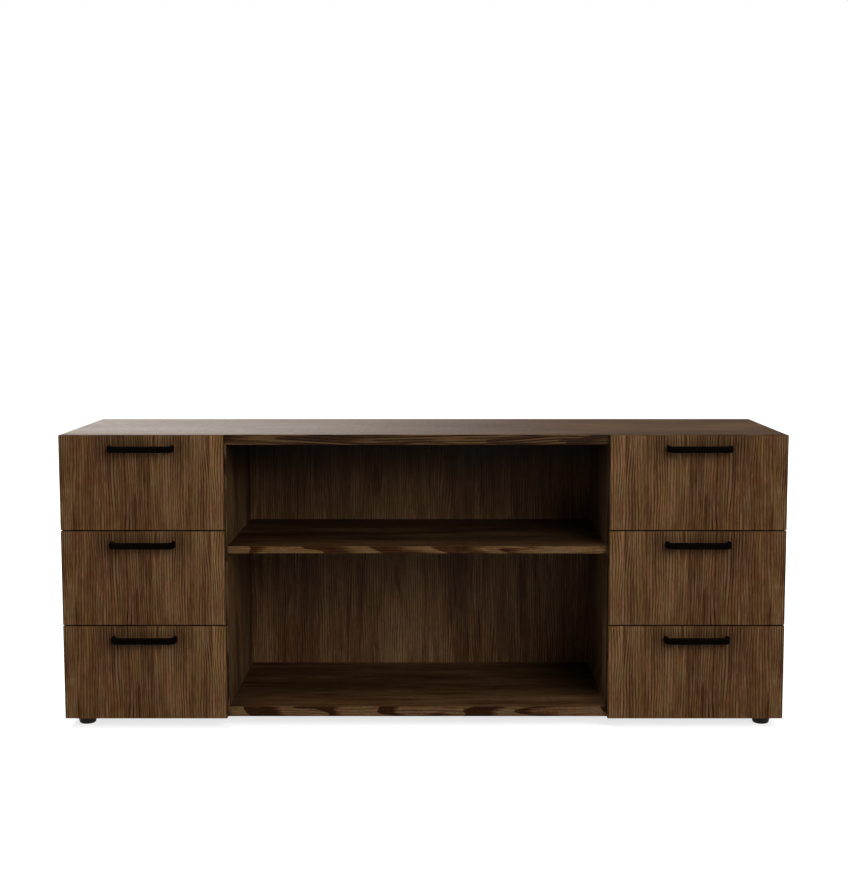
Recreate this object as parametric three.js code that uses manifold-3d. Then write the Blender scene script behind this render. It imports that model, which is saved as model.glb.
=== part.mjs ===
// Office credenza: banks of drawers on ball-bearing runners, either side of an open bay with a shelf.
// Millimetres, +Z up, front towards -Y, origin on the floor under the middle of the overall box.
import * as THREE from 'three';
import { mergeVertices } from 'three/addons/utils/BufferGeometryUtils.js';
import Module from 'manifold-3d';

const wasm = await Module();
wasm.setup();

// Overall sizes
const WIDTH = 1829;
const BODY_DEPTH = 480;
const BODY_HEIGHT = 726;
const FOOT_HEIGHT = 27.5;
const PULL_REACH = 30;

// Boards
const SLAB = 26;
const BOARD = 18;
const BACK_THICK = 6;
const BACK_INSET = 8;
const HOUSING = 6;
const FIT = 0.3;
const ARRIS = 1;
const ARRIS_STEPS = 2;

// Drawer fronts: each bank has its own width, and a strip of divider edge shows beside it
const FRONT_WIDTH = { left: 413, right: 446 };
const FRONT_HEIGHT = 240;
const FRONT_GAP = 3;
const BUMPER_GAP = 1.5;
const REVEAL = 4;
const SHELF_TOP_BELOW_TOP = 284.5;

// Drawer boxes
const BOX_WALL = 15;
const BOX_LENGTH = 410;
const BOX_HEIGHT = 175;
const BOX_LIFT = 32;
const BOX_BOTTOM_THICK = 5;
const BOX_BOTTOM_LIFT = 12;

// Runners, drawn in a side space of RUNNER_SPACE between the cabinet wall and the drawer box
const RUNNER_SPACE = 13;
const RUNNER_LENGTH = 400;
const RUNNER_SETBACK = 3;
const RUNNER_LIFT = 70;
const STEEL = 1.5;
const CABINET_RAIL = { height: 45, depth: 10, lip: -1.75 };
const DRAWER_RAIL = { height: 35, depth: 9.5, lip: 1.75 };
const RAIL_BEND = 1.5;
const SLOT_LENGTH = 10;
const SLOT_WIDTH = 5;
const SLOT_PLACES = [0.1, 0.5, 0.9];
const SLOT_FACETS = 2;

// Pulls: a flat oval bar bent to a D
const PULL_CENTRES = 155;
const PULL_HEIGHT = 16.5;
const PULL_THICK = 10;
const PULL_EDGE = 4;
const PULL_BEND = 11;
const PULL_DROP = 33.5;
const PULL_STEPS = 30;
const PULL_EDGE_FACETS = 1;

// Handle length of the cubic curve nearest to a quarter circle of radius 1
const QUARTER_ARC_ARM = 0.5523;

// Feet
const FOOT_RADIUS = 27;
const FOOT_SOLE_RADIUS = 20;
const FOOT_EDGE = 4;
const FOOT_FLARE = 1;
const FOOT_RIM = 5;
const FOOT_STEM_RADIUS = 4.5;
const FOOT_STEM = 14;
const FOOT_FROM_END = 42;
const FOOT_FROM_EDGE = 42;
const FOOT_SIDES = 24;
const FOOT_EDGE_STEPS = 3;

// Planes that the sizes above set
const FACE_Y = PULL_REACH - (BODY_DEPTH + PULL_REACH) / 2;
const BACK_Y = FACE_Y + BODY_DEPTH;
const CARCASS_Y = FACE_Y + BOARD + BUMPER_GAP;
const BACK_FRONT_Y = BACK_Y - BACK_INSET - BACK_THICK;
const TOP_Z = FOOT_HEIGHT + BODY_HEIGHT;
const UNDERSIDE_Z = TOP_Z - SLAB;
const FLOOR_Z = FOOT_HEIGHT + SLAB;
const END_X = WIDTH / 2;
const END_INNER_X = END_X - SLAB;
const BAY_LEFT_X = -END_X + FRONT_WIDTH.left + REVEAL;
const BAY_RIGHT_X = END_X - FRONT_WIDTH.right - REVEAL;

const WALNUT = { color: 0x553a24, roughness: 0.45, metalness: 0 };
const BOX_BIRCH = { color: 0xb79a72, roughness: 0.6, metalness: 0 };
const RUNNER_ZINC = { color: 0x9a9c9e, roughness: 0.35, metalness: 0.9 };
const PULL_BLACK = { color: 0x0b0908, roughness: 0.5, metalness: 0.3 };
const FOOT_BLACK = { color: 0x241b15, roughness: 0.6, metalness: 0 };

function piece(name, geometry, finish) {
  const mesh = new THREE.Mesh(geometry, new THREE.MeshStandardMaterial(finish));
  mesh.name = name;
  return mesh;
}

function toSolid(geometry) {
  const bare = geometry.clone();
  bare.deleteAttribute('normal');
  bare.deleteAttribute('uv');
  const merged = mergeVertices(bare);
  const mesh = new wasm.Mesh({
    numProp: 3,
    vertProperties: new Float32Array(merged.attributes.position.array),
    triVerts: new Uint32Array(merged.index.array),
  });
  return new wasm.Manifold(mesh);
}

function cut(geometry, tools) {
  let solid = toSolid(geometry);
  for (const tool of tools) {
    solid = solid.subtract(toSolid(tool));
  }
  const { vertProperties, triVerts } = solid.getMesh();
  const result = new THREE.BufferGeometry();
  result.setAttribute('position', new THREE.BufferAttribute(vertProperties, 3));
  result.setIndex(new THREE.BufferAttribute(triVerts, 1));
  result.computeVertexNormals();
  return result;
}

// A box between two corners, in the frame of the piece that it belongs to.
function span([x0, y0, z0], [x1, y1, z1]) {
  const box = new THREE.BoxGeometry(x1 - x0, y1 - y0, z1 - z0);
  return box.translate((x0 + x1) / 2, (y0 + y1) / 2, (z0 + z1) / 2);
}

function rectangle(width, height) {
  const shape = new THREE.Shape();
  shape.moveTo(-width / 2, -height / 2);
  shape.lineTo(width / 2, -height / 2);
  shape.lineTo(width / 2, height / 2);
  shape.lineTo(-width / 2, height / 2);
  shape.closePath();
  return shape;
}

function roundedRectangle(width, height, radius) {
  const [x, y] = [width / 2 - radius, height / 2 - radius];
  const shape = new THREE.Shape();
  shape.absarc(x, -y, radius, -Math.PI / 2, 0);
  shape.absarc(x, y, radius, 0, Math.PI / 2);
  shape.absarc(-x, y, radius, Math.PI / 2, Math.PI);
  shape.absarc(-x, -y, radius, Math.PI, 1.5 * Math.PI);
  shape.closePath();
  return shape;
}

// A board with eased edges round both faces, its faces towards +Z and -Z and its centre at the origin.
function easedBoard(width, height, thickness) {
  const geometry = new THREE.ExtrudeGeometry(rectangle(width, height), {
    depth: thickness - 2 * ARRIS,
    bevelThickness: ARRIS,
    bevelSize: ARRIS,
    bevelOffset: -ARRIS,
    bevelSegments: ARRIS_STEPS,
  });
  return geometry.translate(0, 0, ARRIS - thickness / 2);
}

// The back panel's outline, grown by a margin, as the tool that cuts its housing in the panels around it.
function backSpan(margin) {
  const reach = HOUSING - FIT + margin;
  return span(
    [-END_INNER_X - reach, BACK_FRONT_Y - margin, FLOOR_Z - reach],
    [END_INNER_X + reach, BACK_FRONT_Y + BACK_THICK + margin, UNDERSIDE_Z + reach],
  );
}

function footPlaces() {
  const x = END_X - FOOT_FROM_END;
  const front = CARCASS_Y + FOOT_FROM_EDGE;
  const rear = BACK_Y - FOOT_FROM_EDGE;
  return {
    front_left_foot: [-x, front],
    front_right_foot: [x, front],
    rear_left_foot: [-x, rear],
    rear_right_foot: [x, rear],
  };
}

function slabAt(height) {
  const depth = BACK_Y - CARCASS_Y;
  return easedBoard(WIDTH, depth, SLAB).translate(0, (CARCASS_Y + BACK_Y) / 2, height + SLAB / 2);
}

function stemBores() {
  const radius = FOOT_STEM_RADIUS + FIT;
  const depth = FOOT_STEM + FIT;
  return Object.values(footPlaces()).map(([x, y]) => {
    const bore = new THREE.CylinderGeometry(radius, radius, 2 * depth, FOOT_SIDES);
    return bore.rotateX(Math.PI / 2).translate(x, y, FOOT_HEIGHT);
  });
}

function endPanel(side) {
  const [low, high] = side < 0 ? [-END_X, -END_INNER_X] : [END_INNER_X, END_X];
  const panel = span([low, CARCASS_Y, FLOOR_Z], [high, BACK_Y, UNDERSIDE_Z]);
  return cut(panel, [backSpan(FIT)]);
}

function upright(low, high) {
  return span([low, CARCASS_Y, FLOOR_Z], [high, BACK_FRONT_Y, UNDERSIDE_Z]);
}

// A turned foot: a tapered cup with a flat sole, a rim against the bottom panel and a stem that enters it.
function footGeometry() {
  const profile = new THREE.Path();
  profile.moveTo(0, 0);
  profile.lineTo(FOOT_SOLE_RADIUS - FOOT_EDGE, 0);
  profile.quadraticCurveTo(FOOT_SOLE_RADIUS, 0, FOOT_SOLE_RADIUS + FOOT_FLARE, FOOT_EDGE);
  profile.lineTo(FOOT_RADIUS, FOOT_HEIGHT - FOOT_RIM);
  profile.lineTo(FOOT_RADIUS, FOOT_HEIGHT);
  profile.lineTo(FOOT_STEM_RADIUS, FOOT_HEIGHT);
  profile.lineTo(FOOT_STEM_RADIUS, FOOT_HEIGHT + FOOT_STEM);
  profile.lineTo(0, FOOT_HEIGHT + FOOT_STEM);
  return new THREE.LatheGeometry(profile.getPoints(FOOT_EDGE_STEPS), FOOT_SIDES).rotateX(Math.PI / 2);
}

function carcass() {
  const group = new THREE.Group();
  const shelfTop = TOP_Z - SHELF_TOP_BELOW_TOP;
  const shelf = span([BAY_LEFT_X, CARCASS_Y, shelfTop - BOARD], [BAY_RIGHT_X, BACK_FRONT_Y, shelfTop]);
  group.add(
    piece('top_panel', cut(slabAt(UNDERSIDE_Z), [backSpan(FIT)]), WALNUT),
    piece('bottom_panel', cut(slabAt(FOOT_HEIGHT), [backSpan(FIT), ...stemBores()]), WALNUT),
    piece('left_end_panel', endPanel(-1), WALNUT),
    piece('right_end_panel', endPanel(1), WALNUT),
    piece('left_divider', upright(BAY_LEFT_X - BOARD, BAY_LEFT_X), WALNUT),
    piece('right_divider', upright(BAY_RIGHT_X, BAY_RIGHT_X + BOARD), WALNUT),
    piece('centre_shelf', shelf, WALNUT),
    piece('back_panel', backSpan(0), WALNUT),
  );
  for (const [name, [x, y]] of Object.entries(footPlaces())) {
    const foot = piece(name, footGeometry(), FOOT_BLACK);
    foot.position.set(x, y, 0);
    group.add(foot);
  }
  return group;
}

// The section of a lipped channel, with the back of its web on x = 0. The lips of its flanges keep the balls
// in: a lip above zero turns out, away from the middle, and one below zero turns in.
function railShape({ height, depth, lip }) {
  const top = height / 2;
  const under = top - STEEL;
  const lipEnd = (lip > 0 ? top : under) + lip;
  const upper = [[0, top - RAIL_BEND], [RAIL_BEND, top]];
  if (lip > 0) {
    upper.push([depth - STEEL, top], [depth - STEEL, lipEnd], [depth, lipEnd], [depth, under]);
  } else {
    upper.push([depth, top], [depth, lipEnd], [depth - STEEL, lipEnd], [depth - STEEL, under]);
  }
  upper.push([STEEL + RAIL_BEND, under], [STEEL, under - RAIL_BEND]);
  const lower = upper.map(([x, y]) => [x, -y]).reverse();
  return new THREE.Shape([...upper, ...lower].map(([x, y]) => new THREE.Vector2(x, y)));
}

function mountingSlot(along) {
  const slot = new THREE.Shape();
  const straight = (SLOT_LENGTH - SLOT_WIDTH) / 2;
  slot.absarc(0, straight, SLOT_WIDTH / 2, 0, Math.PI);
  slot.absarc(0, -straight, SLOT_WIDTH / 2, Math.PI, 2 * Math.PI);
  const tool = new THREE.ExtrudeGeometry(slot, {
    depth: 3 * STEEL,
    bevelEnabled: false,
    curveSegments: SLOT_FACETS,
  });
  return tool.rotateY(Math.PI / 2).translate(-STEEL, along, 0);
}

// A rail along +Y from the origin, its web's back on the plane x = 0 and its flanges towards +X.
function railGeometry(rail) {
  const shape = railShape(rail);
  const blank = new THREE.ExtrudeGeometry(shape, { depth: RUNNER_LENGTH, bevelEnabled: false });
  blank.rotateX(Math.PI / 2).translate(0, RUNNER_LENGTH, 0);
  return cut(blank, SLOT_PLACES.map((share) => mountingSlot(share * RUNNER_LENGTH)));
}

function pullPath() {
  const half = PULL_CENTRES / 2;
  const out = PULL_THICK / 2 - PULL_REACH;
  const arm = QUARTER_ARC_ARM * PULL_BEND;
  const at = (x, y) => new THREE.Vector3(x, y, 0);
  const path = new THREE.CurvePath();
  path.add(new THREE.LineCurve3(at(-half, 0), at(-half, out + PULL_BEND)));
  path.add(new THREE.CubicBezierCurve3(
    at(-half, out + PULL_BEND), at(-half, out + PULL_BEND - arm),
    at(-half + PULL_BEND - arm, out), at(-half + PULL_BEND, out),
  ));
  path.add(new THREE.LineCurve3(at(-half + PULL_BEND, out), at(half - PULL_BEND, out)));
  path.add(new THREE.CubicBezierCurve3(
    at(half - PULL_BEND, out), at(half - PULL_BEND + arm, out),
    at(half, out + PULL_BEND - arm), at(half, out + PULL_BEND),
  ));
  path.add(new THREE.LineCurve3(at(half, out + PULL_BEND), at(half, 0)));
  return path;
}

function pullGeometry() {
  return new THREE.ExtrudeGeometry(roundedRectangle(PULL_HEIGHT, PULL_THICK, PULL_EDGE), {
    steps: PULL_STEPS,
    extrudePath: pullPath(),
    curveSegments: PULL_EDGE_FACETS,
  });
}

// Four walls glued up as an open frame, with a groove round the inside for the bottom.
function boxGeometry(width) {
  const walls = rectangle(width, BOX_LENGTH);
  walls.holes.push(rectangle(width - 2 * BOX_WALL, BOX_LENGTH - 2 * BOX_WALL));
  const frame = new THREE.ExtrudeGeometry(walls, { depth: BOX_HEIGHT, bevelEnabled: false });
  return cut(frame, [boxBottom(width, FIT)]);
}

function boxBottom(width, margin) {
  const inset = BOX_WALL - HOUSING + FIT - margin;
  const [x, y] = [width / 2 - inset, BOX_LENGTH / 2 - inset];
  return span([-x, -y, BOX_BOTTOM_LIFT - margin], [x, y, BOX_BOTTOM_LIFT + BOX_BOTTOM_THICK + margin]);
}

// One drawer with the cabinet halves of its runners. The group's origin is on the face of the front, in the
// middle of its lower edge.
function drawerSet(name, frontWidth, wallLeft, wallRight) {
  const cabinet = new THREE.Group();
  const drawer = new THREE.Group();
  const boxWidth = wallRight - wallLeft - 2 * RUNNER_SPACE;
  const boxX = (wallLeft + wallRight) / 2;
  const boxFrontY = BOARD;

  const front = piece(`${name}_front`, easedBoard(frontWidth, FRONT_HEIGHT, BOARD), WALNUT);
  front.rotation.x = Math.PI / 2;
  front.position.set(0, BOARD / 2, FRONT_HEIGHT / 2);

  const box = piece(`${name}_box`, boxGeometry(boxWidth), BOX_BIRCH);
  box.position.set(boxX, boxFrontY + BOX_LENGTH / 2, BOX_LIFT);

  const bottom = piece(`${name}_box_bottom`, boxBottom(boxWidth, 0), BOX_BIRCH);
  bottom.position.copy(box.position);

  const pull = piece(`${name}_pull`, pullGeometry(), PULL_BLACK);
  pull.position.set(0, 0, FRONT_HEIGHT - PULL_DROP);
  drawer.add(front, box, bottom, pull);

  const railY = BOARD + BUMPER_GAP + RUNNER_SETBACK;
  for (const [side, wallX, turn] of [['left', wallLeft, 0], ['right', wallRight, Math.PI]]) {
    const inward = Math.cos(turn);
    const fixed = piece(`${name}_${side}_cabinet_rail`, railGeometry(CABINET_RAIL), RUNNER_ZINC);
    fixed.rotation.y = turn;
    fixed.position.set(wallX, railY, RUNNER_LIFT);
    const sliding = piece(`${name}_${side}_drawer_rail`, railGeometry(DRAWER_RAIL), RUNNER_ZINC);
    sliding.rotation.y = Math.PI - turn;
    sliding.position.set(wallX + inward * RUNNER_SPACE, railY, RUNNER_LIFT);
    cabinet.add(fixed);
    drawer.add(sliding);
  }
  const set = new THREE.Group();
  set.add(cabinet, drawer);
  return set;
}

function drawerBank(bank, wallLeft, wallRight, frontCentre) {
  const group = new THREE.Group();
  ['bottom', 'middle', 'top'].forEach((tier, row) => {
    const [left, right] = [wallLeft - frontCentre, wallRight - frontCentre];
    const set = drawerSet(`${bank}_${tier}`, FRONT_WIDTH[bank], left, right);
    set.position.set(frontCentre, FACE_Y, FOOT_HEIGHT + row * (FRONT_HEIGHT + FRONT_GAP));
    group.add(set);
  });
  return group;
}

const credenza = new THREE.Group();
credenza.add(
  carcass(),
  drawerBank('left', -END_INNER_X, BAY_LEFT_X - BOARD, -END_X + FRONT_WIDTH.left / 2),
  drawerBank('right', BAY_RIGHT_X + BOARD, END_INNER_X, END_X - FRONT_WIDTH.right / 2),
);

export default credenza;
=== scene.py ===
"""Looks of an office credenza: walnut boards, drawers on runners, black D pulls and round feet."""
from functools import partialmethod, reduce
from math import pi, radians
from typing import NamedTuple

import bmesh
import bpy
import numpy as np
from bpy.props import FloatProperty, FloatVectorProperty, IntProperty, PointerProperty
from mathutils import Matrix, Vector


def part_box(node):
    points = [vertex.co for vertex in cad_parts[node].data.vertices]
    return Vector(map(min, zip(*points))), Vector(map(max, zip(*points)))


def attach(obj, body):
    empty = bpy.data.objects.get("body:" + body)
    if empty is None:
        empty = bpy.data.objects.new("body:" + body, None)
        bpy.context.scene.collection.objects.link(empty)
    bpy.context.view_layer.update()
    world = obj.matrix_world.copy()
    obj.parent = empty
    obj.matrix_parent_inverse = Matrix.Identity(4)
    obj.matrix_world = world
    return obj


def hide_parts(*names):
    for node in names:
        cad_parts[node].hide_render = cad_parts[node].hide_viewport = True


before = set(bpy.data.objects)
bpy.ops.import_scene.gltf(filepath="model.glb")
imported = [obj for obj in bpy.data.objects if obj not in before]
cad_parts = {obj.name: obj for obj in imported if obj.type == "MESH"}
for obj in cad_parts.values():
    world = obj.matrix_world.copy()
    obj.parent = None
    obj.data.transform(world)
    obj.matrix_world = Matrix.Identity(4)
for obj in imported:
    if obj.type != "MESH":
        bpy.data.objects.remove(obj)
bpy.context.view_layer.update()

bl_info = {
    "name": "Office credenza",
    "version": (1, 0, 0),
    "blender": (4, 5, 0),
    "location": "3D View > Sidebar > Credenza",
    "description": "Finishes the boards, drawers, pulls and feet of an office credenza and sets its stage",
    "category": "Object",
}

SIDES = ("left", "right")
TIERS = ("bottom", "middle", "top")
DRAWERS = [f"{bank}_{tier}" for bank in SIDES for tier in TIERS]
FEET = ("front_left_foot", "front_right_foot", "rear_left_foot", "rear_right_foot")
FRONT_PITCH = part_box("left_middle_front")[0].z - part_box("left_bottom_front")[0].z
TOP_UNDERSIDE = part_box("top_panel")[0].z
SMOOTH_ANGLE = radians(35)  # edges sharper than this stay crisp
WHITE = (1.0, 1.0, 1.0, 1.0)

# Layers of noise in the finishes: rates along three coordinates, detail and roughness.
LAYERS = {
    "drift": (4, 4, 2.4, 2, 0.5),
    "broad": (7.5, 6, 1.8, 3, 0.5),
    "bands": (48, 9, 2.4, 2, 0.6),
    "patches": (125, 30, 11, 1, 0.5),
    "streaks": (280, 40, 34, 2, 0.6),
    "hairs": (620, 90, 24, 2, 0.5),
    "pores": (1400, 900, 45, 1, 0.5),
    "dark_lines": (85, 20, 5, 1, 0.5),
    "line_shift": (24, 10, 4.2, 1, 0.5),
    "line_strength": (55, 20, 8, 1, 0.5),
    "ruddy": (50, 20, 22, 1, 0.5),
    "golden": (19, 20, 44, 1, 0.5),
    "band_sway": (0.8, 0, 1, 1, 0.5),
    "band_tongue": (0.6, 3, 12, 1, 0.5),
    "band_hair": (24, 0, 300, 3, 0.65),
    "band_speck": (130, 0, 260, 1, 0.5),
    "band_sweep": (2.6, 0, 10, 1, 0.5),
    "band_lines": (5, 0, 40, 1, 0.5),
    "birch_figure": (3, 70, 70, 3, 0.6),
    "birch_cloud": (9, 14, 14, 2, 0.5),
    "birch_fleck": (120, 900, 900, 1, 0.5),
    "zinc_drawn": (900, 8, 900, 2, 0.6),
    "zinc_cloud": (40, 18, 40, 3, 0.5),
    "coat_peel": (700, 700, 700, 2, 0.5),
    "coat_worn": (30, 30, 30, 2, 0.5),
    "plastic_grain": (1100, 1100, 1100, 2, 0.5),
    "plastic_shade": (45, 45, 45, 2, 0.5),
    "paper_speck": (60, 60, 60, 2, 0.5),
}
NOISE_MEAN = 0.5

# Walnut: what each layer adds to the tone, by a cut's figure or fineness, and to the roughness.
FIGURE_WEIGHTS = {"broad": 0.50, "bands": 0.46}
FINE_WEIGHTS = {"streaks": 0.50, "hairs": 0.20, "patches": 0.42}
ROUGH_WEIGHTS = {"streaks": 0.12, "broad": 0.22}
MIDDLE_TONE = 0.5
GRAIN_STOPS, BAND_STOPS = (0.12, 0.5, 0.88), (0.15, 0.5, 0.85)  # tones of the dark, body and pale colours
LINE_SHIFT, SWEEP_SHIFT = 4.0, 7.0  # line pitches that noise moves lines by, on faces and edge bands
LINE_MEAN = 0.42  # mean of the troughs, so that lines leave the mean tone alone
FAINT_LINES, STRONG_LINES, DARK_LINES = 0.14, 0.44, 0.20
PORE_SHARE, PORE_ROUGHNESS, STREAK_RELIEF = 0.45, 0.15, 0.35
RUDDY, GOLDEN = 0.22, 0.6  # strength of the two tints
ARRIS_BLUR = 0.05
BAND_HAIR, BAND_SPECK = 0.7, 0.35
WARMTH_LOSS = (0.0, 0.3, 1.0)  # how far warmth takes red, green and blue away

BIRCH_STOPS = (0.3, 0.52, 0.8)
BIRCH_FIGURE, BIRCH_CLOUD, BIRCH_PALE, BIRCH_PLY = 0.6, 0.5, 1.18, 0.75
BIRCH_ROUGHNESS, ROUGH_FIGURE, FLECK_RELIEF = 0.42, 0.15, 0.4

# A pan head's profile in half diameters: radius, height and how far the cross swells the radius.
PAN_HEAD = np.array([
    (1.0, 0.0, 0.0), (1.0, 0.22, 0.0), (0.86, 0.46, 0.0), (0.58, 0.60, 0.0),
    (0.42, 0.62, 0.30), (0.30, 0.30, 0.45), (0.10, 0.26, 0.45)])
# Places of screws, as shares of a rail's length or a box's width and height.
RAIL_SCREWS = np.array([0.1, 0.5, 0.9])
ACROSS_SCREWS, UP_SCREWS = np.array([0.25, 0.75]), np.array([0.35, 0.75])

# Lamps: place, diameter, the setting that gives the power, and whether gloss shows it.
LAMPS = {
    "key_lamp": ((3.3, -5.95, 3.85), 4.5, "key", True),
    "high_lamp": ((-2.45, -1.6, 7.3), 3.5, "high", True),
    "fill_lamp": ((-6.45, -3.9, 1.4), 3.5, "fill", True),
    "rear_lamp": ((1.0, 5.9, 4.6), 3.5, "rear", False),
}
LAMP_AIM = Vector((0.0, 0.0, 0.35))


class WalnutSettings(bpy.types.PropertyGroup):
    """Colours and grain of the walnut finish."""

    dark: FloatVectorProperty(
        name="Dark streaks", description="Colour of the darkest lines in the grain",
        subtype="COLOR", size=3, min=0.0, max=1.0, default=(0.0185, 0.0056, 0.0011))
    body: FloatVectorProperty(
        name="Body", description="Main colour of the wood",
        subtype="COLOR", size=3, min=0.0, max=1.0, default=(0.0718, 0.0327, 0.0122))
    pale: FloatVectorProperty(
        name="Pale streaks", description="Colour of the palest lines in the grain",
        subtype="COLOR", size=3, min=0.0, max=1.0, default=(0.1675, 0.0970, 0.0450))
    wander: FloatProperty(
        name="Wander", description="How far the grain lines stray to the side",
        unit="LENGTH", min=0.0, default=0.006)
    line_pitch: FloatProperty(
        name="Line pitch", description="Usual distance between two grain lines",
        unit="LENGTH", min=0.001, default=0.0066)
    front_sheen: FloatProperty(
        name="Front sheen", description="Specular level of the drawer fronts",
        subtype="FACTOR", min=0.0, max=1.0, default=0.025)
    bay_sheen: FloatProperty(
        name="Bay sheen", description="Specular level of the uprights and the back of the open bay",
        subtype="FACTOR", min=0.0, max=1.0, default=0.08)
    shelf_sheen: FloatProperty(
        name="Shelf sheen", description="Specular level of the shelf and the bottom",
        subtype="FACTOR", min=0.0, max=1.0, default=0.025)
    top_sheen: FloatProperty(
        name="Top sheen", description="Specular level of the satin top",
        subtype="FACTOR", min=0.0, max=1.0, default=0.05)
    front_roughness: FloatProperty(
        name="Front roughness", description="Mean roughness of the drawer fronts and the bay",
        subtype="FACTOR", min=0.0, max=1.0, default=0.55)
    top_roughness: FloatProperty(
        name="Top roughness", description="Mean roughness of the satin top",
        subtype="FACTOR", min=0.0, max=1.0, default=0.34)


class DrawerSettings(bpy.types.PropertyGroup):
    """Sizes and colours of the birch drawer boxes and their runners."""

    wall: FloatProperty(
        name="Wall", description="Thickness of a drawer box's walls",
        unit="LENGTH", min=0.006, default=0.015)
    groove: FloatProperty(
        name="Groove", description="Depth of the groove that holds the drawer bottom",
        unit="LENGTH", min=0.0, default=0.006)
    groove_play: FloatProperty(
        name="Groove play", description="Room above and below the drawer bottom in its groove",
        unit="LENGTH", min=0.0, default=0.0003)
    easing: FloatProperty(
        name="Easing", description="Radius of the rounded upper edges of the walls",
        unit="LENGTH", min=0.0005, default=0.003)
    plies: IntProperty(
        name="Plies", description="Layers seen on the upper edge of a wall", min=3, default=9)
    birch: FloatVectorProperty(
        name="Birch", description="Colour of the birch faces",
        subtype="COLOR", size=3, min=0.0, max=1.0, default=(0.58, 0.42, 0.24))
    birch_dark: FloatVectorProperty(
        name="Birch end grain", description="Colour of the cross plies and the figure in the birch",
        subtype="COLOR", size=3, min=0.0, max=1.0, default=(0.33, 0.20, 0.095))
    zinc: FloatVectorProperty(
        name="Zinc", description="Colour of the plated rails and screws",
        subtype="COLOR", size=3, min=0.0, max=1.0, default=(0.50, 0.51, 0.52))
    screw: FloatProperty(
        name="Screw head", description="Diameter of the pan heads of the screws",
        unit="LENGTH", min=0.002, default=0.0075)
    steel: FloatProperty(
        name="Steel", description="Thickness of the sheet that the rails are rolled from",
        unit="LENGTH", min=0.0005, default=0.0015)


class PullSettings(bpy.types.PropertyGroup):
    """Sizes and colours of the pulls, bumpers and feet."""

    bend: FloatProperty(
        name="Bend", description="Radius of the pull's bends, to the middle of the bar",
        unit="LENGTH", min=0.008, default=0.011)
    thick: FloatProperty(
        name="Thickness", description="Thickness of the bar, front to back",
        unit="LENGTH", min=0.004, default=0.010)
    edge: FloatProperty(
        name="Edge", description="Radius of the bar's rounded edges",
        unit="LENGTH", min=0.0005, default=0.004)
    black: FloatVectorProperty(
        name="Black", description="Colour of the pulls' powder coat",
        subtype="COLOR", size=3, min=0.0, max=1.0, default=(0.0009, 0.0006, 0.00045))
    foot: FloatVectorProperty(
        name="Foot", description="Colour of the moulded feet",
        subtype="COLOR", size=3, min=0.0, max=1.0, default=(0.017, 0.011, 0.0075))
    bumper: FloatProperty(
        name="Bumper", description="Diameter of the soft bumpers behind the fronts",
        unit="LENGTH", min=0.004, default=0.008)
    bumper_drop: FloatProperty(
        name="Bumper drop", description="How far a bumper sits below the upper edge of its front",
        unit="LENGTH", min=0.0, default=0.020)
    silicone: FloatVectorProperty(
        name="Silicone", description="Colour of the bumpers",
        subtype="COLOR", size=3, min=0.0, max=1.0, default=(0.30, 0.27, 0.23))
    sole: FloatProperty(
        name="Sole", description="Radius of a foot where it meets the floor",
        unit="LENGTH", min=0.005, default=0.020)


class StageSettings(bpy.types.PropertyGroup):
    """Camera, lamps and floor."""

    camera: FloatVectorProperty(
        name="Camera", description="Where the camera stands",
        subtype="TRANSLATION", unit="LENGTH", size=3, default=(0.0491, -3.8160, 1.1027))
    tilt: FloatProperty(
        name="Tilt", description="How far the camera looks down",
        subtype="ANGLE", default=radians(5.68))
    lens: FloatProperty(
        name="Lens", description="Focal length in millimetres on a 36 mm frame", min=10.0, default=59.2)
    shift: FloatProperty(
        name="Shift", description="Sideways shift of the frame, as a share of its height", default=-0.0218)
    key: FloatProperty(
        name="Key lamp", description="Power of the large lamp in front, to the right",
        unit="POWER", min=0.0, default=435.0)
    high: FloatProperty(
        name="High lamp", description="Power of the large lamp overhead, to the left",
        unit="POWER", min=0.0, default=470.0)
    fill: FloatProperty(
        name="Fill lamp", description="Power of the low lamp at the left",
        unit="POWER", min=0.0, default=32.0)
    rear: FloatProperty(
        name="Rear lamp", description="Power of the lamp behind, which lights the back",
        unit="POWER", min=0.0, default=300.0)
    sky: FloatProperty(
        name="Sky", description="Strength of the plain light from all round", min=0.0, default=0.06)
    floor: FloatVectorProperty(
        name="Floor", description="Colour of the floor before the white of the background is added",
        subtype="COLOR", size=3, min=0.0, max=1.0, default=(0.5, 0.5, 0.5))


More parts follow.
